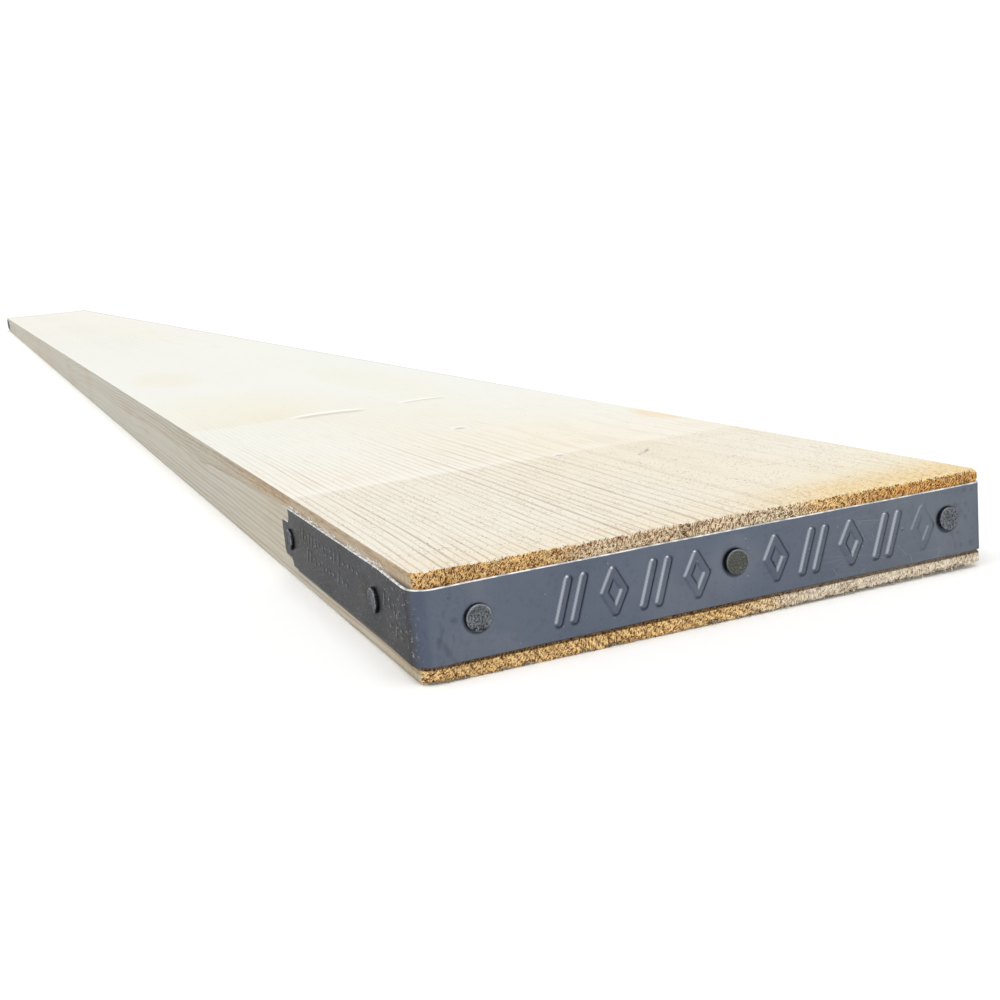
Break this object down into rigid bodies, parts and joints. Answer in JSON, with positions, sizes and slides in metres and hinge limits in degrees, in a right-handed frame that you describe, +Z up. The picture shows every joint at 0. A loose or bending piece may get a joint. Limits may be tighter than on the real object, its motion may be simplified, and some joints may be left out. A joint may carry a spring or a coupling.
{
  "type": "timber scaffold board",
  "caption": "Sawn softwood scaffold board with a pressed steel band nailed round each end to stop the ends splitting.",
  "frame": {"origin": "middle of the board's underside, halfway along and halfway across", "axes": "+X along the board from the near end to the far end, +Y across it, +Z up out of the deck face"},
  "size_m": [3.9044, 0.2294, 0.038],
  "materials": {
    "timber": "sawn and planed softwood, unfinished",
    "band_steel": "dull blue-grey galvanised strip",
    "nail_steel": "dull galvanised, rough faced"
  },
  "bodies": {
    "root": {"board": "timber", "end_band_near": "band_steel", "end_band_far": "band_steel", "nail_near_face_left": "nail_steel", "nail_near_face_middle": "nail_steel", "nail_near_face_right": "nail_steel", "nail_near_left_corner": "nail_steel", "nail_near_left_tongue": "nail_steel", "nail_near_right_corner": "nail_steel", "nail_near_right_tongue": "nail_steel", "nail_far_face_left": "nail_steel", "nail_far_face_middle": "nail_steel", "nail_far_face_right": "nail_steel", "nail_far_left_corner": "nail_steel", "nail_far_left_tongue": "nail_steel", "nail_far_right_corner": "nail_steel", "nail_far_right_tongue": "nail_steel"}
  },
  "joints": []
}
